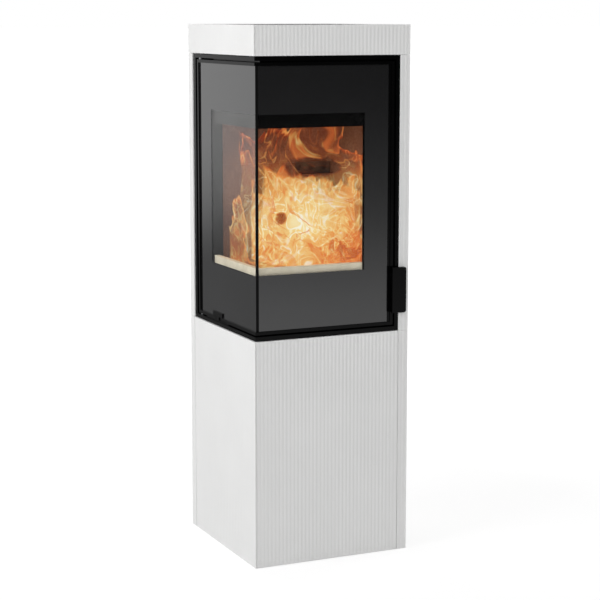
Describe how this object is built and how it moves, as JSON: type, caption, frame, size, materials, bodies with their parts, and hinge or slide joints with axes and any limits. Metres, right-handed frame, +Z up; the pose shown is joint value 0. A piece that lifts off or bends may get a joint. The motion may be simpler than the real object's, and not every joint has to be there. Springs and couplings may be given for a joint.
{
  "type": "corner-window wood stove",
  "caption": "Tall free-standing wood stove: an insert with an L-shaped glass door at its front left corner, in a pale fluted surround of cast elements.",
  "frame": {"origin": "middle of the floor area that the stove takes up, handle included", "axes": "+X right and +Y back, seen from the front, where the wide glass pane and the handle are; +Z up; the side pane faces -X"},
  "size_m": [0.48, 0.507, 1.525],
  "materials": {
    "cast_white": "matte",
    "black_steel": "satin",
    "dark_steel": "matte",
    "zinc_steel": "satin",
    "cast_iron": "matte",
    "vermiculite": "matte",
    "pale_ceramic": "matte",
    "seal_rope": "matte",
    "smoked_glass": "gloss"
  },
  "bodies": {
    "stove": {"base_panel_front_left": "cast_white", "base_panel_rear_right": "cast_white", "mid_panel_rear_right": "cast_white", "top_surround": "cast_white", "top_plate": "dark_steel", "corner_bracket_front_low": "zinc_steel", "corner_bracket_rear_low": "zinc_steel", "corner_bracket_front_high": "zinc_steel", "corner_bracket_rear_high": "zinc_steel", "level_bracket_base": "zinc_steel", "level_bracket_top": "zinc_steel", "stand_frame": "dark_steel", "levelling_foot_1": "zinc_steel", "levelling_foot_2": "zinc_steel", "levelling_foot_3": "zinc_steel", "levelling_foot_4": "zinc_steel", "firebox_shell": "dark_steel", "firebox_face": "dark_steel", "baffle_rail_left": "dark_steel", "baffle_rail_right": "dark_steel", "insert_frame": "black_steel", "top_carrier": "dark_steel", "back_lining_left": "vermiculite", "back_lining_right": "vermiculite", "back_lining_upper": "vermiculite", "side_lining": "vermiculite", "floor_lining_front": "vermiculite", "floor_lining_rear": "vermiculite", "floor_lining_left": "vermiculite", "floor_lining_right": "vermiculite", "ash_pan": "zinc_steel", "log_retainer_front": "pale_ceramic", "log_retainer_side": "pale_ceramic", "air_wash_bar": "dark_steel", "rear_air_bar": "dark_steel", "lower_baffle": "vermiculite", "upper_baffle": "vermiculite", "flue_collar": "dark_steel", "air_inlet_spigot": "zinc_steel", "rear_outlet_cover": "dark_steel", "heat_shield_rear": "zinc_steel", "heat_shield_side": "zinc_steel", "hinge_pin_lower": "zinc_steel", "hinge_pin_upper": "zinc_steel", "catch_pin": "zinc_steel", "catch_bracket": "zinc_steel"},
    "door": {"door_frame": "black_steel", "side_glass": "smoked_glass", "front_glass": "smoked_glass", "corner_seal": "seal_rope", "glass_strip_front_low": "zinc_steel", "glass_strip_side_low": "zinc_steel", "glass_strip_front_high": "zinc_steel", "glass_strip_side_high": "zinc_steel", "door_seal": "seal_rope", "handle": "black_steel", "strike_plate": "zinc_steel"},
    "air_slide": {"air_slide": "black_steel"},
    "roller": {"catch_roller": "zinc_steel"},
    "grate": {"grate": "cast_iron"}
  },
  "joints": [
    {"name": "door_swing", "type": "hinge", "parent": "stove", "child": "door", "pos_m": [-0.227, 0.1845, 0.666], "axis": [0, 0, -1], "range_deg": [0, 100]},
    {"name": "air_slide_travel", "type": "slide", "parent": "door", "child": "air_slide", "axis": [0, -1, 0], "range_m": [0, 0.06]},
    {"name": "catch_roller_spin", "type": "hinge", "parent": "stove", "child": "roller", "pos_m": [0.19382, -0.20063, 0.772], "axis": [0, 0, 1], "continuous": true},
    {"name": "grate_lift", "type": "slide", "parent": "stove", "child": "grate", "axis": [0, 0, 1], "range_m": [0, 0.06]}
  ]
}
